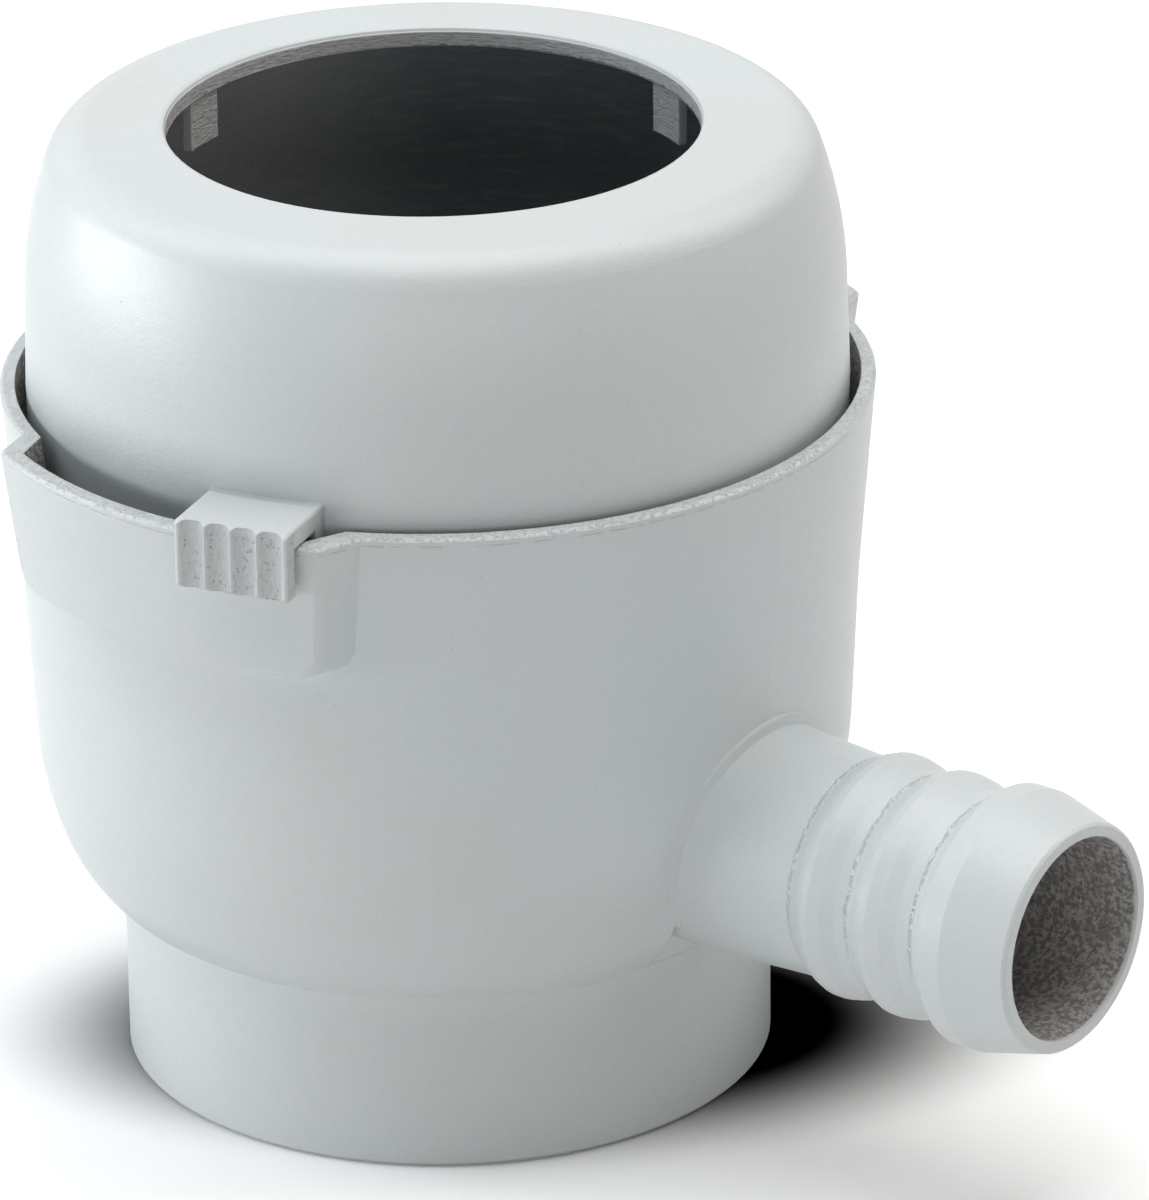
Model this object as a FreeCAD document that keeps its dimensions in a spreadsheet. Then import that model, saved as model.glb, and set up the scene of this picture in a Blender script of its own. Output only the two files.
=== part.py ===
# Rainwater diverter for a downpipe: a cast housing with a hose spout, and a turning cap.
# Millimetres, +Z up. The origin is the centre of the spigot's lower end.
# The spout points along +X. The cap turns about Z.
import FreeCAD, Part
import math
import os
import re
import Sketcher

V = FreeCAD.Vector

# Driving sizes
SIZES = {
    # Cap: opening, flat top, rounded shoulder and flared wall
    "opening_radius": 41.0,
    "top_width": 11.8,
    "top_fall": 0.5,
    "shoulder_radius": 7.0,
    "shoulder_angle": 19.8,
    "dome_radius": 64.5,
    "cap_flare": 0.4,
    "cap_rise": 41.2,
    "cap_wall": 2.6,
    "collar_thickness": 3.1,
    "lip_round": 0.8,
    "skirt_taper": 0.5,
    # Guide tabs under the opening
    "tab_count": 3,
    "tab_angle": 69.3,
    "tab_width": 7.7,
    "tab_thickness": 1.4,
    "tab_inset": 0.5,
    "tab_length": 8.3,
    # Hooked finger grips over the rim
    "grip_count": 2,
    "grip_angle": -73.9,
    "grip_margin": 0.7,
    "grip_thickness": 3.0,
    "grip_leg": 7.4,
    "rim_clearance": 0.4,
    "hook_clearance": 0.45,
    "pad_thickness": 2.6,
    "pad_bottom": 3.0,
    "flute_count": 4,
    "flute_pitch": 4.25,
    "flute_depth": 0.9,
    "flute_ridge": 0.0074,
    "grip_round": 0.6,
    "grip_side_round": 0.5,
    # Shutter that closes the way to the spout
    "shutter_angle": 32.0,
    "shutter_half_angle": 16.2,
    "shutter_wall": 2.4,
    "shutter_clearance": 0.4,
    "arm_wall": 3.1,
    # Housing: spigot, bowl, belt and rim
    "spigot_radius": 50.9,
    "spigot_height": 29.3,
    "spigot_wall": 2.6,
    "spigot_chamfer": 0.8,
    "foot_ledge": 1.5,
    "foot_ledge_height": 0.6,
    "foot_flare": 3.8,
    "foot_flare_height": 1.5,
    "bowl_low_arc": 25.7,
    "bowl_knee_share": 0.5825,
    "bowl_knee_rise": 10.95,
    "bowl_side_arc": 54.4,
    "bowl_side_share": 0.8835,
    "bowl_side_rise": 25.6,
    "bowl_wall": 2.5,
    "belt_depth": 32.2,
    "rim_flare": 2.6,
    "rim_height": 112.2,
    "rim_wall": 2.3,
    "rim_gap": 1.7,
    "rim_chamfer": 0.5,
    "skirt_gap": 0.65,
    "seat_depth": 20.2,
    "seat_width": 1.9,
    "seat_thickness": 2.5,
    # Bulges of the rim, in which the grips swing
    "bulge_count": 2,
    "bulge_depth": 5.4,
    "bulge_height": 22.7,
    "bulge_draft": 6.5,
    "bulge_half_angle": 30.0,
    "bulge_slant": 15.8,
    "bulge_wall": 2.8,
    "bulge_end_round": 4.5,
    "bulge_round": 1.8,
    "hollow_draft": 6.3,
    "hollow_half_angle": 27.7,
    "hollow_slant": 4.2,
    # Collecting trough and overflow pipe
    "trough_rise": 12.2,
    "trough_floor_wall": 3.0,
    "trough_corner": 12.0,
    "overflow_radius": 30.0,
    "overflow_wall": 2.4,
    "overflow_depth": 34.2,
    # Hose spout with three barbs
    "spout_rise": 21.0,
    "spout_reach": 57.4,
    "spout_root_radius": 18.6,
    "lip_radius": 19.3,
    "spout_tip_bore": 15.9,
    "spout_bore_draft": 1.3,
    "barb_radius": 19.3,
    "barb_end_radius": 20.5,
    "neck_radius": 17.5,
    "tip_radius": 18.0,
    "tip_taper": 10.4,
    "barb_end_land": 3.7,
    "barb_slope": 3.6,
    "barb_pitch": 10.8,
    "barb_end_pitch": 12.2,
    "barb_land": 1.2,
    "mouth_boss_wall": 3.4,
    "mouth_depth": 4.5,
    "recess_half_width": 15.2,
    "recess_step": 0.7,
    "recess_chamfer": 0.6,
    "lip_height": 0.9,
    "lip_offset": 0.9,
}

# Sizes that follow from the driving ones
TERMS = {
    "flat_radius": "opening_radius + top_width",
    "dome_turn": "dome_radius * (1 - cos(shoulder_angle))",
    "cap_waist": "flat_radius + shoulder_radius * cos(shoulder_angle) + dome_turn",
    "cap_radius": "cap_waist + cap_flare",
    "cap_top": "rim_height + cap_rise",
    "joint_level": "cap_top - top_fall - shoulder_radius * (1 - sin(shoulder_angle))",
    "waist_level": "joint_level - dome_radius * sin(shoulder_angle)",
    "collar_level": "cap_top - collar_thickness",
    "rim_bore": "cap_radius + rim_gap",
    "rim_radius": "rim_bore + rim_wall",
    "belt_radius": "rim_radius - rim_flare",
    "belt_level": "rim_height - belt_depth",
    "seat_level": "rim_height - seat_depth",
    "skirt_radius": "cap_radius - skirt_taper",
    "skirt_bore": "skirt_radius + skirt_gap",
    "seat_radius": "skirt_radius - seat_width",
    "foot_radius": "spigot_radius + foot_flare",
    "knee_radius": "foot_radius + (belt_radius - foot_radius) * bowl_knee_share",
    "knee_level": "spigot_height + bowl_knee_rise",
    "side_radius": "foot_radius + (belt_radius - foot_radius) * bowl_side_share",
    "side_level": "spigot_height + bowl_side_rise",
    "trough_level": "spigot_height + trough_rise",
    "trough_radius": "side_radius - bowl_wall",
    "overflow_level": "rim_height - overflow_depth",
    "bulge_radius": "rim_radius + bulge_depth",
    "bulge_level": "rim_height - bulge_height",
    "hollow_radius": "bulge_radius - bulge_wall",
    "bulge_root": "skirt_radius - seat_width",
    "spout_level": "spigot_height + spout_rise",
    "spout_tip": "belt_radius + spout_reach",
    "mouth_radius": "spout_tip_bore - spout_bore_draft",
    "boss_radius": "mouth_radius + mouth_boss_wall",
    "boss_face": "trough_radius - mouth_depth",
    "shutter_radius": "boss_face - shutter_clearance",
    "arm_level": "spout_level + boss_radius + 4 * shutter_clearance",
    "grip_top": "rim_height + rim_clearance + grip_thickness",
    "grip_width": "flute_count * flute_pitch + 2 * grip_margin",
    "leg_inner": "bulge_radius + hook_clearance",
    "leg_outer": "leg_inner + grip_thickness",
    "pad_radius": "cap_radius + pad_thickness",
    "flute_half": "(flute_pitch - flute_ridge) / 2",
    "flute_radius": "(flute_half * flute_half + flute_depth * flute_depth) / (2 * flute_depth)",
    "grip_line": "leg_outer + flute_radius - flute_depth",
}

document = FreeCAD.newDocument("RainwaterDiverter")
sheet = document.addObject("Spreadsheet::Sheet", "Size")
for row, (alias, size) in enumerate(SIZES.items(), 1):
    sheet.set("A%d" % row, alias)
    sheet.set("B%d" % row, str(size))
    sheet.setAlias("B%d" % row, alias)
document.recompute()


def formula(text):
    """Writes a term out in the sheet's own names."""
    def name(match):
        word = match.group(0)
        if word in TERMS:
            return "(" + formula(TERMS[word]) + ")"
        return "Size." + word if word in SIZES else word
    return re.sub(r"[a-z]\w*", name, str(text))


def value(text):
    return float(sheet.evalExpression(formula(text)))


def bind(item, path, text):
    """Ties a property to the sheet, unless it is a bare number."""
    if re.search(r"[a-z]", str(text)):
        item.setExpression(path, formula(text))


# Sketches
def new_sketch(body, name, plane, raised=None, turned=None):
    """A sketch on one of the body's own planes, raised across it or turned about Z."""
    sketch = body.newObject("Sketcher::SketchObject", name)
    base = [item for item in body.Origin.OriginFeatures if item.Role == plane][0]
    sketch.AttachmentSupport = [(base, "")]
    sketch.MapMode = "FlatFace"
    if turned:
        sketch.AttachmentOffset = FreeCAD.Placement(V(), FreeCAD.Rotation(V(0, 1, 0), value(turned)))
        bind(sketch, "AttachmentOffset.Rotation.Angle", turned)
    if raised:
        axis, distance = raised
        sketch.AttachmentOffset = FreeCAD.Placement(V(*[value(distance) * n for n in axis]), FreeCAD.Rotation())
        bind(sketch, "AttachmentOffset.Base." + "xyz"[axis.index(1)], distance)
    return sketch


def outline(sketch, corners):
    """A closed outline. A corner is x, y and, where an arc leads to the next one,
    its radius: positive bulges to the right of the way round, negative to the left."""
    points = [V(value(c[0]), value(c[1]), 0) for c in corners]
    ends = []
    for index, corner in enumerate(corners):
        start = points[index]
        finish = points[(index + 1) % len(corners)]
        if len(corner) == 2:
            edge = sketch.addGeometry(Part.LineSegment(start, finish))
            ends.append((edge, 1, 2))
            continue
        radius = value(corner[2])
        chord = finish - start
        right = V(chord.y, -chord.x, 0).normalize()
        rise = abs(radius) - math.sqrt(radius ** 2 - (chord.Length / 2) ** 2)
        middle = (start + finish) / 2 + right * math.copysign(rise, radius)
        if radius > 0:
            edge = sketch.addGeometry(Part.Arc(start, middle, finish))
            ends.append((edge, 1, 2))
        else:
            edge = sketch.addGeometry(Part.Arc(finish, middle, start))
            ends.append((edge, 2, 1))
        size = sketch.addConstraint(Sketcher.Constraint("Radius", edge, abs(radius)))
        bind(sketch, "Constraints[%d]" % size, str(corner[2]).lstrip("-"))
    for index, (edge, first, last) in enumerate(ends):
        before = ends[index - 1]
        sketch.addConstraint(Sketcher.Constraint("Coincident", before[0], before[2], edge, first))
        for kind, text, place in (("DistanceX", corners[index][0], points[index].x),
                                  ("DistanceY", corners[index][1], points[index].y)):
            size = sketch.addConstraint(Sketcher.Constraint(kind, edge, first, place))
            bind(sketch, "Constraints[%d]" % size, text)
    return sketch


def circle(sketch, across, up, radius):
    edge = sketch.addGeometry(Part.Circle(V(value(across), value(up), 0), V(0, 0, 1), value(radius)))
    for kind, text in (("DistanceX", across), ("DistanceY", up)):
        size = sketch.addConstraint(Sketcher.Constraint(kind, edge, 3, value(text)))
        bind(sketch, "Constraints[%d]" % size, text)
    size = sketch.addConstraint(Sketcher.Constraint("Radius", edge, value(radius)))
    bind(sketch, "Constraints[%d]" % size, radius)
    return sketch


def wave(start, start_radius, finish, finish_radius):
    """Corners that leave one radius gently and reach another gently, steep in between."""
    corners = [(start, start_radius)]
    for along, climb in (("1 / 3", "1 / 4"), ("2 / 3", "3 / 4")):
        corners.append(("(%s) + ((%s) - (%s)) * %s" % (start, finish, start, along),
                        "%s + (%s - %s) * %s" % (start_radius, finish_radius, start_radius, climb)))
    return corners


# Features
def spin(body, name, sketch, turn=None, cut=False, axis="V_Axis"):
    """Turns a sketch about its own axis: all the way, or a sector centred on its plane."""
    feature = body.newObject("PartDesign::Groove" if cut else "PartDesign::Revolution", name)
    feature.Profile = sketch
    feature.ReferenceAxis = (sketch, [axis])
    feature.Angle = value(turn) if turn else 360
    if turn:
        feature.Midplane = True
        bind(feature, "Angle", turn)
    return feature


def push(body, name, sketch, length, cut=False, centred=False, reverse=False):
    """Pads or pockets a sketch by a length."""
    feature = body.newObject("PartDesign::Pocket" if cut else "PartDesign::Pad", name)
    feature.Profile = sketch
    feature.Length = value(length)
    bind(feature, "Length", length)
    feature.Midplane = centred
    feature.Reversed = reverse
    return feature


def around(body, name, originals, count):
    """Repeats features evenly about Z."""
    pattern = body.newObject("PartDesign::PolarPattern", name)
    pattern.Originals = originals
    axis = [item for item in body.Origin.OriginFeatures if item.Role == "Z_Axis"][0]
    pattern.Axis = (axis, [""])
    pattern.Angle = 360
    pattern.Occurrences = int(value(count))
    bind(pattern, "Occurrences", count)
    body.Tip = pattern
    return pattern


def dress(body, name, kind, base, size, wanted):
    """Chamfers or fillets the edges of a feature that pass a test."""
    document.recompute()
    names = ["Edge%d" % n for n, edge in enumerate(base.Shape.Edges, 1) if wanted(edge)]
    if not names:
        raise ValueError("no edge found for " + name)
    feature = body.newObject("PartDesign::" + kind, name)
    feature.Base = (base, names)
    path = "Size" if kind == "Chamfer" else "Radius"
    setattr(feature, path, value(size))
    bind(feature, path, size)
    body.Tip = feature
    return feature


def radii(edge):
    return [math.hypot(v.X, v.Y) for v in edge.Vertexes]


def levels(edge):
    return [v.Z for v in edge.Vertexes]


# Housing
housing = document.addObject("PartDesign::Body", "housing")
housing.Label = "housing"

# Bulges of the rim: a drafted outer wall, slanted ends that narrow downwards, and rounded lower corners
bulge = spin(housing, "Bulge", outline(new_sketch(housing, "BulgeSection", "XZ_Plane", turned="90"), [
    ("bulge_root", "bulge_level"),
    ("bulge_radius - bulge_height * tan(bulge_draft)", "bulge_level"),
    ("bulge_radius", "rim_height"),
    ("bulge_root", "rim_height"),
]), turn="2 * bulge_half_angle + bulge_slant")
bulge_features = [bulge]
end_top = "rim_radius * sin(bulge_half_angle + bulge_slant)"
end_foot = "(%s - bulge_height * tan(bulge_draft))" % end_top
tangent = "bulge_end_round * tan(45 - bulge_draft / 2)"
for side, arc, name in (("", "-", "Right"), ("-", "", "Left")):
    bulge_end = outline(new_sketch(housing, "Bulge%sEnd" % name, "XZ_Plane", turned=side + "bulge_slant"), [
        ("%s(%s)" % (side, end_top), "rim_height"),
        ("%s(%s + %s * sin(bulge_draft))" % (side, end_foot, tangent),
         "bulge_level + %s * cos(bulge_draft)" % tangent, arc + "bulge_end_round"),
        ("%s(%s - %s)" % (side, end_foot, tangent), "bulge_level"),
        ("%s(%s - %s)" % (side, end_foot, tangent), "bulge_level - bulge_wall"),
        (side + "2 * bulge_radius", "bulge_level - bulge_wall"),
        (side + "2 * bulge_radius", "rim_height"),
    ])
    bulge_features.append(push(housing, "Bulge%sTrim" % name, bulge_end, "2 * bulge_radius", cut=True))
bulges = around(housing, "Bulges", bulge_features, "bulge_count")


def is_bulge_side(edge):
    """An edge of the bulge's outer wall at its sides or bottom."""
    bottom = value("bulge_level")
    return min(radii(edge)) > value("belt_radius") + 1 and min(levels(edge)) < bottom + value("bulge_height") / 2


def is_bulge_top(edge):
    """An edge round the bulge's top face, apart from the inner one."""
    return max(radii(edge)) > value("rim_radius") and min(levels(edge)) > value("rim_height") - 0.01


rounded = dress(housing, "BulgeRound", "Fillet", bulges, "bulge_round", is_bulge_side)
dress(housing, "BulgeEdge", "Chamfer", rounded, "rim_chamfer", is_bulge_top)

# Raised lip round the spout's root: a disc that stands a little proud of the bowl
push(housing, "LipDisc", circle(new_sketch(housing, "LipCircle", "YZ_Plane"),
                                0, "spout_level + lip_offset", "lip_radius"),
     "belt_radius + 2 * lip_height")
spin(housing, "LipTrim", outline(new_sketch(housing, "LipSection", "XZ_Plane"), [
    ("knee_radius + lip_height", "spigot_height"),
    ("2 * belt_radius", "spigot_height"),
    ("2 * belt_radius", "belt_level + lip_offset"),
    ("belt_radius + lip_height", "belt_level + lip_offset"),
    ("side_radius + lip_height", "side_level", "-(bowl_side_arc + lip_height)"),
    ("knee_radius + lip_height", "knee_level"),
]), cut=True)

# Outside of the spigot, bowl and rim, solid at first
spin(housing, "Outside", outline(new_sketch(housing, "OutsideSection", "XZ_Plane"), [
    (0, 0),
    ("spigot_radius - spigot_chamfer", 0),
    ("spigot_radius", "spigot_chamfer"),
    ("spigot_radius", "spigot_height"),
    ("spigot_radius + foot_ledge", "spigot_height"),
    ("spigot_radius + foot_ledge", "spigot_height + foot_ledge_height"),
    ("foot_radius", "spigot_height + foot_flare_height", "bowl_low_arc"),
    ("knee_radius", "knee_level", "bowl_side_arc"),
    ("side_radius", "side_level"),
    ("belt_radius", "belt_level"),
    ("rim_radius", "rim_height - rim_chamfer"),
    ("rim_radius - rim_chamfer", "rim_height"),
    (0, "rim_height"),
]))

# Recess under the spout: the bowl's lower wall steps back there, nearly to the line of the spigot
recess_depth = "spout_level - spigot_height - 2 * foot_ledge"
push(housing, "SpoutRecess", outline(new_sketch(housing, "RecessOutline", "XY_Plane",
                                                ((0, 0, 1), "spigot_height")), [
    (0, "-recess_half_width"),
    ("rim_radius", "-recess_half_width"),
    ("rim_radius", "recess_half_width"),
    (0, "recess_half_width"),
]), recess_depth, cut=True, reverse=True)
wall = push(housing, "RecessWall", circle(new_sketch(housing, "RecessWallCircle", "XY_Plane",
                                                     ((0, 0, 1), "spigot_height")),
                                          0, 0, "spigot_radius + recess_step"), recess_depth)


def is_recess_side(edge):
    """A climbing edge of the bowl's or the lip's own surface beside the recess."""
    if len(edge.Vertexes) != 2:
        return False
    return (all(abs(abs(v.Y) - value("recess_half_width")) < 0.01 and v.X > 0 for v in edge.Vertexes)
            and min(radii(edge)) > value("foot_radius") - 0.01
            and max(levels(edge)) < value("spout_level")
            and max(levels(edge)) - min(levels(edge)) > 0.01)


dress(housing, "RecessEdge", "Chamfer", wall, "recess_chamfer", is_recess_side)

# Spout with three barbs, about its own level axis: each rises steeply, keeps its crest and falls away slowly
neck = "(spout_tip - tip_taper - barb_end_land - barb_slope)"
barbs = wave("spout_tip - tip_taper - barb_end_land", "barb_end_radius", neck, "neck_radius")
for pitch in ("barb_end_pitch", "barb_pitch"):
    root_neck = "(%s - %s)" % (neck, pitch)
    crest = "(%s + barb_slope)" % root_neck
    barbs += wave(neck, "neck_radius", crest + " + barb_land", "barb_radius")
    barbs += [(crest + " + barb_land", "barb_radius")]
    barbs += wave(crest, "barb_radius", root_neck, "neck_radius")
    neck = root_neck
spin(housing, "Spout", outline(new_sketch(housing, "SpoutSection", "XZ_Plane", ((0, 1, 0), "spout_level")), [
    ("spigot_radius - spigot_wall / 2", 0),
    ("spout_tip", 0),
    ("spout_tip", "tip_radius - rim_chamfer"),
    ("spout_tip - rim_chamfer", "tip_radius"),
    ("spout_tip - tip_taper", "barb_end_radius"),
] + barbs + [
    (neck, "neck_radius"),
    ("belt_radius - bowl_wall", "spout_root_radius"),
    ("spigot_radius - spigot_wall / 2", "spout_root_radius"),
]), axis="H_Axis")

# Inside: spigot bore, overflow pipe, trough, seat for the cap and rim bore
spin(housing, "Inside", outline(new_sketch(housing, "InsideSection", "XZ_Plane"), [
    (0, -1),
    ("spigot_radius - spigot_wall", -1),
    ("spigot_radius - spigot_wall", "trough_level - trough_floor_wall"),
    ("overflow_radius", "trough_level - trough_floor_wall"),
    ("overflow_radius", "overflow_level"),
    ("overflow_radius + overflow_wall", "overflow_level"),
    ("overflow_radius + overflow_wall", "trough_level"),
    ("trough_radius - trough_corner / 2", "trough_level"),
    ("trough_radius", "trough_level + trough_corner"),
    ("belt_radius - bowl_wall", "belt_level"),
    ("belt_radius - bowl_wall", "seat_level - 2 * seat_thickness"),
    ("seat_radius", "seat_level - seat_thickness"),
    ("seat_radius", "seat_level"),
    ("skirt_bore", "seat_level"),
    ("rim_bore", "rim_height"),
    ("rim_bore", "rim_height + 1"),
    (0, "rim_height + 1"),
]), cut=True)

# Hollows of the bulges
hollow_end = "(hollow_half_angle - hollow_slant)"
hollow = push(housing, "BulgeHollow", outline(new_sketch(housing, "HollowOutline", "XY_Plane",
                                                         ((0, 0, 1), "rim_height")), [
    ("-bulge_root * sin(hollow_half_angle)", "bulge_root * cos(hollow_half_angle)"),
    ("bulge_root * sin(hollow_half_angle)", "bulge_root * cos(hollow_half_angle)"),
    ("rim_bore * sin(hollow_half_angle)", "rim_bore * cos(hollow_half_angle)"),
    ("hollow_radius * sin(%s)" % hollow_end, "hollow_radius * cos(%s)" % hollow_end, "hollow_radius"),
    ("-hollow_radius * sin(%s)" % hollow_end, "hollow_radius * cos(%s)" % hollow_end),
    ("-rim_bore * sin(hollow_half_angle)", "rim_bore * cos(hollow_half_angle)"),
]), "seat_depth", cut=True)
hollow.TaperAngle = -value("hollow_draft")
bind(hollow, "TaperAngle", "-hollow_draft")
hollows = around(housing, "BulgeHollows", [hollow], "bulge_count")

# Mouth of the spout in the trough: a boss faced to a round, which the shutter sweeps
push(housing, "MouthBoss", circle(new_sketch(housing, "MouthCircle", "YZ_Plane",
                                             ((0, 0, 1), "spigot_radius - spigot_wall / 2")),
                                  0, "spout_level", "boss_radius"),
     "trough_radius - spigot_radius")
spin(housing, "MouthFace", outline(new_sketch(housing, "MouthSection", "XZ_Plane"), [
    ("overflow_radius + overflow_wall", "trough_level"),
    ("boss_face", "trough_level"),
    ("boss_face", "belt_level"),
    ("overflow_radius + overflow_wall", "belt_level"),
]), cut=True)
spin(housing, "SpoutBore", outline(new_sketch(housing, "BoreSection", "XZ_Plane", ((0, 1, 0), "spout_level")), [
    ("boss_face", 0),
    ("spout_tip + 1", 0),
    ("spout_tip + 1", "spout_tip_bore"),
    ("spout_tip", "spout_tip_bore"),
    ("boss_face", "mouth_radius"),
]), cut=True, axis="H_Axis")

# Cap
cap = document.addObject("PartDesign::Body", "cap")
cap.Label = "cap"
joint_out = "flat_radius + shoulder_radius * cos(shoulder_angle)"
joint_in = "flat_radius + (shoulder_radius - cap_wall) * cos(shoulder_angle)"
joint_in_level = "joint_level - cap_wall * sin(shoulder_angle)"
spin(cap, "CapShell", outline(new_sketch(cap, "CapSection", "XZ_Plane"), [
    ("opening_radius", "collar_level"),
    ("flat_radius", "cap_top - top_fall - cap_wall"),
    (joint_in, joint_in_level, "-(dome_radius - cap_wall)"),
    ("cap_waist - cap_wall", "waist_level"),
    ("cap_radius - cap_wall", "rim_height"),
    ("skirt_radius - cap_wall", "seat_level"),
    ("skirt_radius", "seat_level"),
    ("cap_radius", "rim_height"),
    ("cap_waist", "waist_level", "dome_radius"),
    (joint_out, "joint_level", "shoulder_radius"),
    ("flat_radius", "cap_top - top_fall"),
    ("opening_radius + lip_round", "cap_top"),
    ("opening_radius + lip_round * (1 - sin(45))", "cap_top - lip_round * (1 - sin(45))"),
    ("opening_radius", "cap_top - lip_round"),
]))

# Guide tabs
tab_turn = "2 * asin(tab_width / 2 / opening_radius)"
tab_inner = "opening_radius + tab_inset"
tab = spin(cap, "Tab", outline(new_sketch(cap, "TabSection", "XZ_Plane", turned="tab_angle"), [
    (tab_inner, "collar_level - tab_length"),
    (tab_inner + " + tab_thickness", "collar_level - tab_length"),
    (tab_inner + " + tab_thickness", "collar_level + lip_round"),
    (tab_inner, "collar_level + lip_round"),
]), turn=tab_turn)
around(cap, "Tabs", [tab], "tab_count")

# Hooked grips: an inner pad, a bridge over the rim and a fluted outer leg
grip = push(cap, "Grip", outline(new_sketch(cap, "GripSection", "XZ_Plane", turned="grip_angle"), [
    ("cap_radius - cap_wall / 2", "grip_top"),
    ("cap_radius - cap_wall / 2", "rim_height"),
    ("skirt_radius - cap_wall / 2", "seat_level + pad_bottom"),
    ("pad_radius", "seat_level + pad_bottom"),
    ("pad_radius", "rim_height + rim_clearance"),
    ("leg_inner", "rim_height + rim_clearance"),
    ("leg_inner", "rim_height - grip_leg"),
    ("leg_outer - grip_round", "rim_height - grip_leg"),
    ("leg_outer", "rim_height - grip_leg + grip_round"),
    ("leg_outer", "grip_top - grip_round"),
    ("leg_outer - grip_round", "grip_top"),
]), "grip_width", centred=True)
flute_sketch = new_sketch(cap, "FluteCircles", "XY_Plane", ((0, 0, 1), "rim_height - grip_leg - grip_round"))
for step in range(SIZES["flute_count"]):
    shift = "(%g * flute_pitch)" % (step - (SIZES["flute_count"] - 1) / 2)
    circle(flute_sketch, "grip_line * cos(grip_angle) - %s * sin(grip_angle)" % shift,
           "grip_line * sin(grip_angle) + %s * cos(grip_angle)" % shift, "flute_radius")
flutes = push(cap, "Flutes", flute_sketch, "grip_leg + rim_clearance + 2 * grip_thickness",
              cut=True, reverse=True)
grips = around(cap, "Grips", [grip, flutes], "grip_count")


def is_grip_side(edge):
    """An edge at the side of a grip's outer leg or on top of its bridge."""
    if len(edge.Vertexes) != 2:
        return False
    turn = math.radians(value("grip_angle"))
    outwards = V(math.cos(turn), math.sin(turn), 0)
    sideways = V(0, 0, 1).cross(outwards)
    points = [v.Point for v in edge.Vertexes]
    shifts = [point.dot(sideways) for point in points]
    return (abs(abs(sum(shifts)) - value("grip_width")) < 0.01
            and abs(shifts[0] - shifts[1]) < 0.01
            and min(levels(edge)) > value("rim_height - grip_leg") - 0.01
            and all(abs(point.dot(outwards)) > value("leg_inner") - 0.01
                    or point.z > value("grip_top") - 0.01 for point in points))


dress(cap, "GripSides", "Fillet", grips, "grip_side_round", is_grip_side)

# Shutter: an arm down from the skirt inside the seat, and a round plate before the mouth
spin(cap, "Shutter", outline(new_sketch(cap, "ShutterSection", "XZ_Plane", turned="shutter_angle"), [
    ("shutter_radius - shutter_wall", "trough_level + shutter_clearance"),
    ("shutter_radius", "trough_level + shutter_clearance"),
    ("shutter_radius", "arm_level"),
    ("skirt_radius - cap_wall", "arm_level"),
    ("skirt_radius - cap_wall", "seat_level"),
    ("skirt_radius - cap_wall / 2", "seat_level"),
    ("skirt_radius - cap_wall / 2", "seat_level + seat_thickness"),
    ("skirt_radius - cap_wall - arm_wall", "seat_level + seat_thickness"),
    ("skirt_radius - cap_wall - arm_wall", "arm_level + shutter_wall"),
    ("shutter_radius - shutter_wall", "arm_level + shutter_wall"),
]), turn="2 * shutter_half_angle")

# Build, look at every object, then write the pieces
document.recompute()
for item in document.Objects:
    if "Invalid" in item.State or "Error" in item.State:
        raise RuntimeError("%s failed: %s" % (item.Name, item.State))
os.makedirs("parts", exist_ok=True)
for piece in (housing, cap):
    shape = piece.Shape
    if shape.isNull() or not shape.isValid():
        raise RuntimeError(piece.Label + " is not a sound solid")
    if len(shape.Solids) != 1:
        raise RuntimeError(piece.Label + " is not one solid")
    box = shape.BoundBox
    print("%s: volume %.0f, x %.1f %.1f, y %.1f %.1f, z %.1f %.1f" % (
        piece.Label, shape.Volume, box.XMin, box.XMax, box.YMin, box.YMax, box.ZMin, box.ZMax))
    shape.exportStep("parts/%s.step" % piece.Label)
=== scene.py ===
# Rainwater diverter: a cast housing with a hose spout, and a domed turning cap, painted light grey.
import bpy
import math
from mathutils import Matrix, Vector

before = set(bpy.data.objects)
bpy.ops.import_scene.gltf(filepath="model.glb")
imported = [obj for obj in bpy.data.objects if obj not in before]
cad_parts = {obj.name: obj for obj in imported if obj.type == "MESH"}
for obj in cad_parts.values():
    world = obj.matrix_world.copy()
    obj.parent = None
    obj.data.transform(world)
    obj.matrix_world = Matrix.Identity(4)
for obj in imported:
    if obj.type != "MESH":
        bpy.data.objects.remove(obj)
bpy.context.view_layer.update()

MM = 0.001

# Places on the cap that its material refers to, in millimetres
OPENING = 41.0              # radius of the opening
OPENING_EDGE = 152.6        # height at which the opening's wall starts to round over
COLLAR_FOOT = 150.3         # height of the collar's lower edge
TAB_OUTSIDE = 42.9          # radius of the guide tabs' outer sides
DOME_OUTSIDE = 65.0         # radius that the dome's foot stays inside, and the grips don't
LEG_INSIDE = 73.45          # distance of the grips' legs from the axis
LEG_OUTSIDE = 76.45
GRIP_TURN = math.radians(-73.9)
FOOT_SHADE_TURN = math.radians(-98.0)
LIGHT_SIDE = (-0.77, -0.63)  # level direction of the dome's inner side that gets painted light; the other side gets painted shade

# Places on the housing that its material refers to, in millimetres
RIM = 112.2                 # height of the rim
SPOUT_ROOT = (64.0, 70.0)   # over these X the spout's look takes over from the bowl's
SPOUT_LEVEL = 50.3          # height of the spout's axis
SPOUT_TIP = 122.4
SPOUT_BORE = 16.2           # radius of the bore
SPOUT_WALL = (16.9, 17.3)   # over these radii the spout's outside starts
BARB_STARTS = (81.7, 92.5, 104.7)
CEILINGS = (45.0, 30.0)     # from the first of these heights to the second, and of these radii,
SPIGOT_INSIDE = (50.0, 48.0)  # faces that look down come to count as inner ones

# How far a normal points away from the axis, or up, where a face counts as looking in, or down
LOOKS_IN = (-0.15, -0.45)
LOOKS_DOWN = (-0.5, -0.8)

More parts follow.
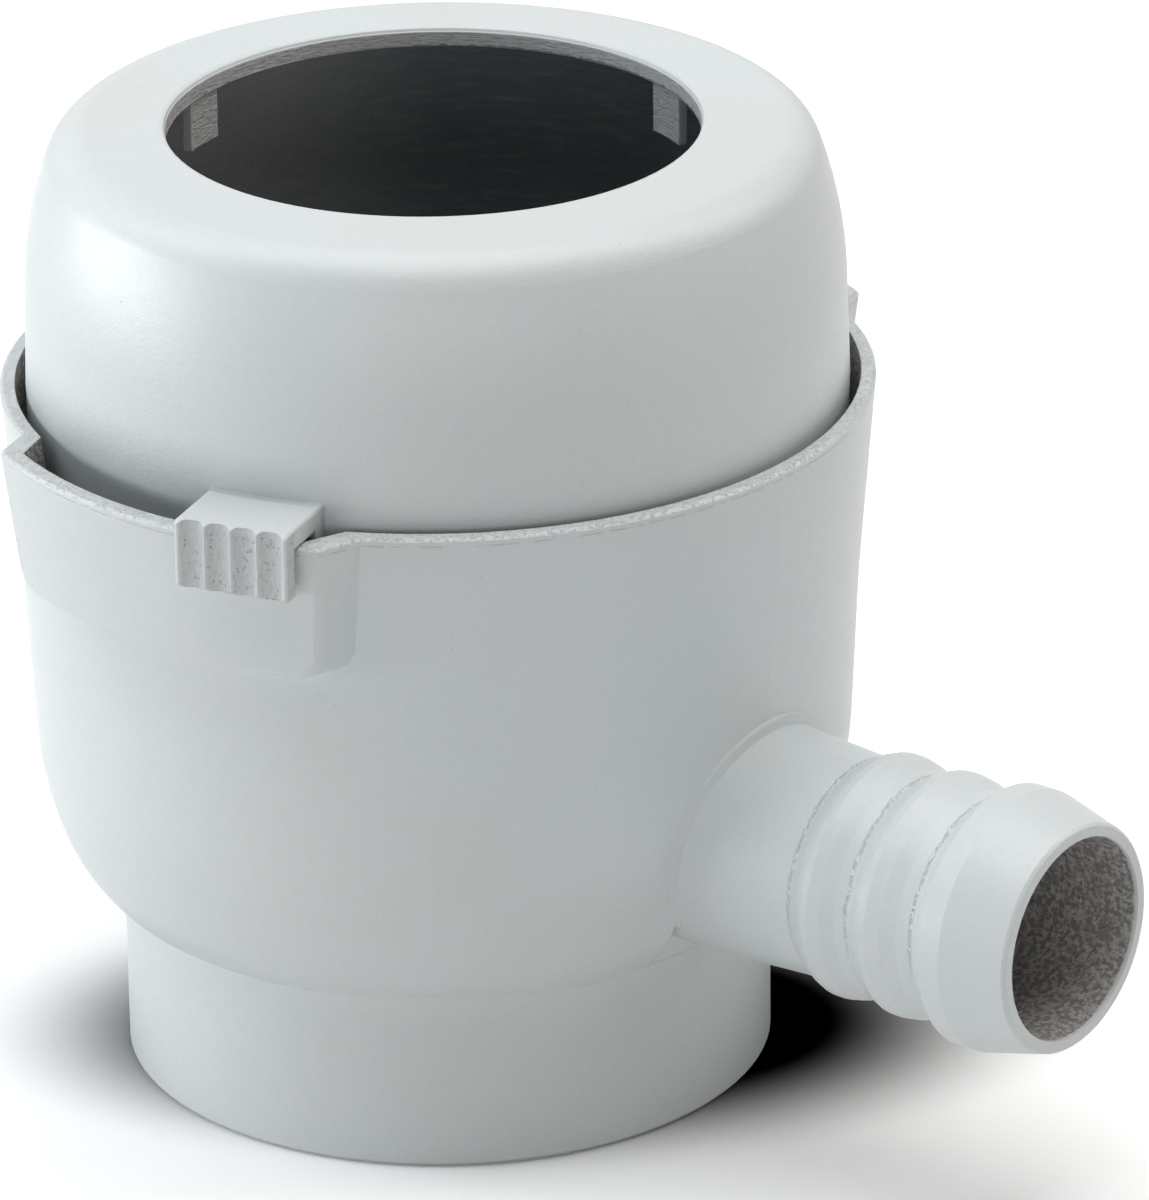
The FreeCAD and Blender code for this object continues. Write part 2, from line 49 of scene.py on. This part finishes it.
# The finish: rounding of the sharp edges and depth of the grain, in metres, and then shares
EDGE_RADIUS = 0.0004
GRAIN_DEPTH = 0.0006
GRAIN_STRENGTH = 0.6
GRAIN_OUTSIDE, GRAIN_INSIDE = 0.24, 0.5
SATIN_ROUGHNESS, BARE_ROUGHNESS = 0.36, 0.85

# Colours
PAINT = (0.615, 0.655, 0.665, 1.0)
PAINT_WARM = (0.605, 0.625, 0.62, 1.0)
# Painted shade and painted reflection on the cap's foot by the bulges
FOOT_PAINTED_SHADE = (0.25, 0.30, 0.32, 1.0)
# The collar's bare colour on its side with painted light
COLLAR_PAINTED_LIGHT = (0.60, 0.60, 0.59, 1.0)
# The dome's inside: painted light on one side and painted shade on the other
INSIDE_PAINTED_LIGHT = (0.88, 0.87, 0.83, 1.0)
INSIDE_PAINTED_SHADE = (0.17, 0.20, 0.22, 1.0)
RAW_GREY = (0.38, 0.365, 0.35, 1.0)

# The camera: its directions in radians, its distance in metres, and its place over the photograph
TURN = math.radians(39.3)   # from +Y about Z
TILT = math.radians(23.338)
ROLL = math.radians(-0.752)
DISTANCE = 1.4625
AIM_SIDEWAYS, AIM_HEIGHT = 20.07, 73.2  # in millimetres
PHOTO_WIDTH, PHOTO_HEIGHT = 1149.0, 1200.0
FOCAL_PIXELS = 9377.0
CENTRE_PIXEL = (571.1, 599.3)
SENSOR = 36.0

# The painted shadow on the floor: its middle and half its size over the picture, in millimetres, and
# where it ends, in shares of that
PAINTED_SHADOW_MIDDLE = 12.0
PAINTED_SHADOW_HALF = (64.0, 37.0)
PAINTED_SHADOW_FADE = (0.75, 1.45)

# What the surroundings give: the floor's and the world's light on the object, and what more the
# eye, a gloss and glass see of them
FLOOR_WHITE, FLOOR_SEEN = 0.7, 0.5
STUDIO_LIGHT, STUDIO_SEEN = 0.05, 0.95

# Lamps: colours, and the points they are aimed at
WHITE = (1.0, 1.0, 1.0)
COOL = (0.96, 1.0, 1.02)
WARM = (1.03, 1.0, 0.96)
MIDDLE = (0.0, 0.0, 0.08)
LOW = (0.0, 0.0, 0.05)


def shaded(color, share):
    """The same colour, lighter or darker."""
    return tuple(c * share for c in color[:3]) + (1.0,)


def way(turn):
    """The level direction at this angle from +X."""
    return math.cos(turn), math.sin(turn)


class Tree:
    """Short calls for building the nodes of a material or a world."""

    def __init__(self, owner):
        self.owner = owner
        owner.use_nodes = True
        self.tree = owner.node_tree
        self.tree.nodes.clear()

    def node(self, kind, **settings):
        made = self.tree.nodes.new("ShaderNode" + kind)
        for key, value in settings.items():
            setattr(made, key, value)
        return made

    def put(self, socket, value):
        if isinstance(value, bpy.types.NodeSocket):
            self.tree.links.new(value, socket)
        elif value is not None:
            socket.default_value = value

    def put_all(self, sockets, *values):
        for socket, value in zip(sockets, values):
            self.put(socket, value)

    def math(self, operation, *values):
        made = self.node("Math", operation=operation)
        self.put_all(made.inputs, *values)
        return made.outputs[0]

    def plus(self, first, *others):
        for other in others:
            first = self.math("ADD", first, other)
        return first

    def times(self, first, *others):
        for other in others:
            first = self.math("MULTIPLY", first, other)
        return first

    def rest_of(self, share):
        return self.math("SUBTRACT", 1.0, share)

    def either(self, first, second):
        return self.math("MAXIMUM", first, second)

    def vector(self, operation, first, second=None, output=0):
        made = self.node("VectorMath", operation=operation)
        self.put_all(made.inputs, first, second)
        return made.outputs[output]

    def scaled(self, vector, scale):
        made = self.node("VectorMath", operation="SCALE")
        self.put(made.inputs[0], vector)
        self.put(made.inputs["Scale"], scale)
        return made.outputs[0]

    def join(self, x, y, z):
        made = self.node("CombineXYZ")
        self.put_all(made.inputs, x, y, z)
        return made.outputs[0]

    def split(self, vector):
        made = self.node("SeparateXYZ")
        self.put(made.inputs[0], vector)
        return made.outputs

    def length(self, vector):
        return self.vector("LENGTH", vector, output=1)

    def reach(self, x, y, direction):
        """How far a point lies in a level direction."""
        return self.plus(self.times(x, direction[0]), self.times(y, direction[1]))

    def step(self, value, low, high, start=0.0, end=1.0):
        """Goes smoothly from start to end as value goes from low to high."""
        made = self.node("MapRange", interpolation_type="SMOOTHSTEP")
        self.put_all(made.inputs, value, low, high, start, end)
        return made.outputs[0]

    def band(self, value, low, high, soft):
        """One between low and high, and nothing outside."""
        return self.times(self.step(value, low - soft, low + soft),
                          self.step(value, high + soft, high - soft))

    def noise(self, vector, scale, detail=3.0, rough=0.55):
        made = self.node("TexNoise")
        self.put(made.inputs["Vector"], vector)
        self.put(made.inputs["Scale"], scale)
        self.put(made.inputs["Detail"], detail)
        self.put(made.inputs["Roughness"], rough)
        return made.outputs[0]

    def cells(self, vector, scale):
        made = self.node("TexVoronoi", feature="F1")
        self.put(made.inputs["Vector"], vector)
        self.put(made.inputs["Scale"], scale)
        return made.outputs["Distance"]

    def blend(self, share, first, second):
        made = self.node("Mix", data_type="RGBA", blend_type="MIX", clamp_factor=True)
        self.put(made.inputs[0], share)
        self.put(made.inputs[6], first)
        self.put(made.inputs[7], second)
        return made.outputs[2]

    def bump(self, height, strength, distance, normal):
        made = self.node("Bump")
        self.put(made.inputs["Strength"], strength)
        self.put(made.inputs["Distance"], distance)
        self.put(made.inputs["Height"], height)
        self.put(made.inputs["Normal"], normal)
        return made.outputs[0]

    def finish(self, shader, kind="OutputMaterial"):
        output = self.node(kind)
        self.tree.links.new(shader, output.inputs[0])
        return self.owner


def places(t):
    """Position in millimetres, its three parts, the distance from the upright axis, and how far
    the surface faces away from that axis and up."""
    coordinates = t.node("TexCoord")
    position = t.scaled(coordinates.outputs["Object"], 1.0 / MM)
    x, y, z = t.split(position)
    flat = t.join(x, y, 0.0)
    radius = t.length(flat)
    normal = coordinates.outputs["Normal"]
    outward = t.vector("DOT_PRODUCT", t.vector("NORMALIZE", flat), normal, output=1)
    return position, x, y, z, radius, outward, t.split(normal)[2]


def skin(t, position):
    """The paint of both castings: its colour, the height of its fine grain, and two of its noises."""
    clouds = t.noise(position, 0.018, 2.0)
    mottle = t.noise(position, 0.8, 3.0, 0.6)
    grain = t.noise(position, 2.8, 2.0, 0.7)
    color = t.blend(t.step(clouds, 0.38, 0.62), PAINT, PAINT_WARM)
    color = t.blend(t.step(mottle, 0.35, 0.75, 0.0, 0.4), color, shaded(PAINT, 0.94))
    color = t.blend(t.step(grain, 0.3, 0.7, 0.0, 0.5), color, shaded(PAINT, 1.05))
    specks = t.times(t.step(t.cells(position, 0.5), 0.11, 0.05),
                     t.step(t.noise(position, 0.09, 2.0), 0.6, 0.66))
    color = t.blend(t.times(specks, 0.3), color, shaded(PAINT, 0.5))
    height = t.plus(t.times(grain, 0.55), t.times(mottle, 0.45), t.times(specks, -0.6))
    return color, height, mottle, grain


def streaks_round(t, x, y, z, along, upwards):
    """Streaks that a tool or a core left round the wall."""
    angle = t.math("ARCTAN2", y, x)
    unrolled = t.join(t.times(angle, along), 0.0, t.times(z, upwards))
    return t.noise(unrolled, 1.0, 4.0, 0.65)


def satin(t, color, height, relief, inside, mottle):
    """Satin paint outside and dull bare metal inside, with soft edges."""
    edge = t.node("Bevel", samples=6)
    edge.inputs["Radius"].default_value = EDGE_RADIUS
    height = t.times(height, t.step(inside, 0.0, 1.0, GRAIN_OUTSIDE, GRAIN_INSIDE))
    shader = t.node("BsdfPrincipled")
    t.put(shader.inputs["Base Color"], color)
    t.put(shader.inputs["Roughness"], t.plus(t.step(inside, 0.0, 1.0, SATIN_ROUGHNESS, BARE_ROUGHNESS),
                                             t.step(mottle, 0.3, 0.8, -0.03, 0.05)))
    shader.inputs["Specular IOR Level"].default_value = 0.5
    t.put(shader.inputs["Normal"], t.bump(t.plus(height, *relief), GRAIN_STRENGTH, GRAIN_DEPTH,
                                          edge.outputs[0]))
    return t.finish(shader.outputs[0])


def cap_look():
    """Cap: painted outside, dark inside with painted light and shade, a rough lit collar and tabs, and
    flutes with painted shade.
    """
    t = Tree(bpy.data.materials.new("cap_paint_look"))
    position, x, y, z, radius, outward, up = places(t)
    color, height, mottle, grain = skin(t, position)

    # Inside of the dome: painted light on one side and painted shade, nearly black, on the other, with
    # faint streaks
    inside = t.times(t.step(outward, *LOOKS_IN), t.step(z, OPENING_EDGE + 0.2, OPENING_EDGE - 0.2))
    streaks = streaks_round(t, x, y, z, 7.0, 0.8)
    light = t.math("DIVIDE", t.reach(x, y, LIGHT_SIDE), radius)
    inner = t.blend(t.step(light, -0.1, 0.9), INSIDE_PAINTED_SHADE, INSIDE_PAINTED_LIGHT)
    inner = t.blend(t.step(streaks, 0.45, 0.75, 0.0, 0.12), inner, shaded(INSIDE_PAINTED_LIGHT, 1.05))
    inner = t.blend(t.step(grain, 0.4, 0.7, 0.0, 0.25), inner, shaded(INSIDE_PAINTED_SHADE, 0.8))

    # Collar and tabs round the opening: lit, scored level, with a ragged lower edge
    scores = streaks_round(t, x, y, z, 22.0, 2.6)
    ragged = t.plus(COLLAR_FOOT - 0.35, t.times(t.noise(position, 0.9, 3.0), 1.1))
    collar = t.times(t.step(radius, OPENING + 0.35, OPENING + 0.15),
                     t.math("GREATER_THAN", z, ragged))
    tab = t.times(t.step(radius, TAB_OUTSIDE, TAB_OUTSIDE - 0.15),
                  t.step(z, COLLAR_FOOT + 0.1, COLLAR_FOOT - 0.1))
    lit = t.either(collar, tab)
    # Painted light on the collar and tabs on the dome's lit side, and painted shade on the other
    bare = t.blend(t.step(light, 0.6, -0.4), COLLAR_PAINTED_LIGHT, shaded(PAINT, 0.8))
    bare = t.blend(t.step(scores, 0.4, 0.7, 0.0, 0.7), bare, shaded(COLLAR_PAINTED_LIGHT, 0.55))
    color = t.blend(inside, color, t.blend(lit, inner, bare))

    # Painted shade and painted reflection: bluer, darker colour on the cap's foot where it faces a
    # bulge
    facing = t.math("DIVIDE", t.math("ABSOLUTE", t.reach(x, y, way(FOOT_SHADE_TURN))), radius)
    foot = t.times(t.step(t.plus(z, t.times(mottle, 2.0)), RIM + 12.0, RIM + 2.5),
                   t.step(facing, 0.78, 0.93),
                   t.step(radius, DOME_OUTSIDE + 0.5, DOME_OUTSIDE - 0.5))
    color = t.blend(t.times(foot, 0.55), color, FOOT_PAINTED_SHADE)

    # Flutes of the grips: painted shade in the hollows, striated upright, with pits
    out = t.math("ABSOLUTE", t.reach(x, y, way(GRIP_TURN)))
    across = t.reach(x, y, way(GRIP_TURN + math.pi / 2.0))
    flute = t.times(t.step(out, LEG_INSIDE, LEG_INSIDE + 0.3), t.step(up, 0.6, 0.3),
                    t.step(out, LEG_OUTSIDE - 0.12, LEG_OUTSIDE - 0.4))
    lines = t.noise(t.join(t.times(across, 3.2), 0.0, t.times(z, 0.7)), 1.0, 3.0, 0.6)
    pits = t.times(t.step(t.cells(position, 1.5), 0.34, 0.2),
                   t.step(t.noise(position, 0.6, 2.0), 0.5, 0.6), flute)
    # Painted shade in the flutes, broken by upright streaks
    flute_shade_and_streaks = t.times(flute, t.step(lines, 0.35, 0.65, 0.25, 0.6))
    color = t.blend(flute_shade_and_streaks, color, shaded(PAINT, 0.66))
    color = t.blend(t.times(pits, 0.5), color, shaded(PAINT, 0.3))

    relief = (t.times(inside, t.times(streaks, 0.9)),
              t.times(inside, lit, t.times(scores, 2.2)),
              t.times(flute, t.times(lines, 0.9)),
              t.times(pits, -0.6))
    return satin(t, color, height, relief, inside, mottle)


def housing_look():
    """Housing: painted outside, rough inside, with cast lines on the spout and burrs on the rim."""
    t = Tree(bpy.data.materials.new("housing_paint_look"))
    position, x, y, z, radius, outward, up = places(t)
    color, height, mottle = skin(t, position)[:3]

    # Inside: the walls that face inwards, the spout's bore and the ceilings
    along = t.step(x, *SPOUT_ROOT)
    offset = t.length(t.join(0.0, y, t.math("SUBTRACT", z, SPOUT_LEVEL)))
    bore = t.times(along, t.step(offset, SPOUT_BORE + 0.35, SPOUT_BORE),
                   t.step(x, SPOUT_TIP - 0.15, SPOUT_TIP - 0.9))
    walls = t.times(t.step(outward, *LOOKS_IN), t.rest_of(along))
    below = t.times(t.step(up, *LOOKS_DOWN),
                    t.times(t.step(z, *CEILINGS), t.step(radius, *SPIGOT_INSIDE)))
    inside = t.either(t.either(walls, bore), below)
    pebbles = t.noise(position, 1.1, 2.0, 0.6)
    streaks = streaks_round(t, x, y, z, 9.0, 1.4)
    inner = t.blend(t.step(pebbles, 0.4, 0.62), shaded(RAW_GREY, 0.62), shaded(RAW_GREY, 1.25))
    inner = t.blend(t.step(streaks, 0.45, 0.7, 0.0, 0.5), inner, shaded(RAW_GREY, 0.6))
    color = t.blend(inside, color, inner)

    # Cast lines where the barbs rise: a broken ridge with dark and bright dashes on the upper side
    waver = t.math("MULTIPLY_ADD", t.noise(position, 0.35, 2.0), 1.1, -0.55)
    dashes = t.step(t.noise(position, 1.25, 2.0), 0.47, 0.55)
    side = t.times(t.step(z, SPOUT_LEVEL - 9.0, SPOUT_LEVEL + 2.0), t.step(offset, *SPOUT_WALL))
    ridges = [t.step(t.math("ABSOLUTE", t.plus(x, -start, waver)), 0.42, 0.12)
              for start in BARB_STARTS]
    ridge = t.times(t.plus(*ridges), side)
    crumbs = t.times(ridge, dashes)
    gaps = t.times(ridge, t.rest_of(dashes))
    color = t.blend(t.times(gaps, 0.35), color, shaded(PAINT, 0.45))
    color = t.blend(t.times(crumbs, 0.45), color, shaded(PAINT, 1.3))

    # Burrs on the rim's edge, and a faint broken line just under it
    burrs = t.times(t.band(z, RIM - 0.35, RIM + 0.3, 0.1),
                    t.step(t.noise(position, 1.6, 3.0, 0.7), 0.5, 0.62))
    line = t.times(t.band(z, RIM - 1.3, RIM - 1.1, 0.1),
                   t.step(t.noise(position, 0.5, 2.0), 0.42, 0.55), t.rest_of(inside))
    color = t.blend(t.times(line, 0.3), color, shaded(PAINT, 0.5))
    color = t.blend(t.times(burrs, 0.25), color, shaded(PAINT, 0.7))

    relief = (t.times(inside, t.plus(t.times(streaks, 0.6), t.times(pebbles, 1.6))),
              t.times(crumbs, 0.7),
              t.times(gaps, -0.35),
              t.times(burrs, 0.5),
              t.times(line, -0.3))
    return satin(t, color, height, relief, inside, mottle)


def seen_directly(t):
    """One for the rays that show the surroundings as they are: to the eye, in a gloss or glass."""
    light = t.node("LightPath")
    seen = t.either(light.outputs["Is Camera Ray"], light.outputs["Is Glossy Ray"])
    return t.either(seen, light.outputs["Is Transmission Ray"])


def floor_look():
    """Pale floor, with a painted shadow: darker in a soft patch under the bowl."""
    t = Tree(bpy.data.materials.new("pale_floor"))
    x, y = t.split(t.node("TexCoord").outputs["Object"])[:2]
    across = t.math("SUBTRACT", t.reach(x, y, way(TURN)), PAINTED_SHADOW_MIDDLE * MM)
    across = t.math("DIVIDE", across, PAINTED_SHADOW_HALF[0] * MM)
    deep = t.math("DIVIDE", t.reach(x, y, way(TURN - math.pi / 2.0)), PAINTED_SHADOW_HALF[1] * MM)
    # Painted shadow: darker in a soft patch under the bowl
    painted_shadow = t.step(t.length(t.join(across, deep, 0.0)), *PAINTED_SHADOW_FADE)
    white = t.times(painted_shadow, t.math("MULTIPLY_ADD", seen_directly(t), FLOOR_SEEN, FLOOR_WHITE))
    diffuse = t.node("BsdfDiffuse")
    t.put(diffuse.inputs["Color"], t.join(white, white, white))
    return t.finish(diffuse.outputs[0])


# The CAD nodes get their materials
for node, look in (("cap", cap_look()), ("housing", housing_look())):
    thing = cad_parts[node]
    thing.data.materials.clear()
    thing.data.materials.append(look)

# Floor and studio
floor_mesh = bpy.data.meshes.new("floor")
floor_mesh.from_pydata([(-4, -4, 0), (4, -4, 0), (4, 4, 0), (-4, 4, 0)], [], [(0, 1, 2, 3)])
floor = bpy.data.objects.new("floor", floor_mesh)
bpy.context.scene.collection.objects.link(floor)
floor_mesh.materials.append(floor_look())

studio = Tree(bpy.data.worlds.new("studio"))
background = studio.node("Background")
background.inputs["Color"].default_value = (1.0, 1.0, 1.0, 1.0)
studio.put(background.inputs["Strength"],
           studio.math("MULTIPLY_ADD", seen_directly(studio), STUDIO_SEEN, STUDIO_LIGHT))
bpy.context.scene.world = studio.finish(background.outputs[0], "OutputWorld")

# Camera at the photograph's place
right = Vector((*way(TURN), 0.0))
near = Vector((math.sin(TURN), -math.cos(TURN), 0.0))
ahead = Vector((-math.sin(TURN) * math.cos(TILT), math.cos(TURN) * math.cos(TILT), -math.sin(TILT)))
upward = right.cross(ahead)
rolled_right = math.cos(ROLL) * right + math.sin(ROLL) * upward
rolled_up = math.cos(ROLL) * upward - math.sin(ROLL) * right
aim = right * (AIM_SIDEWAYS * MM) + Vector((0.0, 0.0, AIM_HEIGHT * MM))
camera_data = bpy.data.cameras.new("camera")
camera_data.sensor_width = SENSOR
camera_data.lens = SENSOR * FOCAL_PIXELS / PHOTO_HEIGHT
camera_data.shift_x = (PHOTO_WIDTH / 2.0 - CENTRE_PIXEL[0]) / PHOTO_HEIGHT
camera_data.shift_y = (CENTRE_PIXEL[1] - PHOTO_HEIGHT / 2.0) / PHOTO_HEIGHT
camera_data.clip_end = 20.0
camera = bpy.data.objects.new("camera", camera_data)
turn = Matrix((rolled_right, rolled_up, -ahead)).transposed().to_4x4()
camera.matrix_world = Matrix.Translation(aim - ahead * DISTANCE) @ turn
bpy.context.scene.collection.objects.link(camera)
bpy.context.scene.camera = camera


def lamp(name, sideways, height, nearer, size, power, aim_at=MIDDLE, color=WHITE):
    """An area lamp, placed by the camera's right and near side, in metres and watts."""
    data = bpy.data.lights.new(name, "AREA")
    data.shape = "RECTANGLE"
    data.size, data.size_y = size
    data.energy = power
    data.color = color
    made = bpy.data.objects.new(name, data)
    made.location = right * sideways + near * nearer + Vector((0.0, 0.0, height))
    direction = Vector(aim_at) - made.location
    made.rotation_euler = direction.to_track_quat("-Z", "Y").to_euler()
    bpy.context.scene.collection.objects.link(made)


lamp("top", 0.0, 1.35, 0.0, (1.3, 1.3), 13.8)
lamp("left", -1.05, 1.0, -0.1, (0.9, 0.9), 5.6, color=COOL)
lamp("low_left", -1.30, 0.14, -0.10, (1.0, 0.24), 9.0, aim_at=LOW, color=COOL)
lamp("right", 1.05, 1.0, -0.25, (0.9, 0.9), 6.6, color=WARM)
lamp("low_front", -0.1, 0.28, 1.35, (1.6, 0.5), 4.4, aim_at=LOW)

bpy.context.scene.view_settings.view_transform = "Standard"
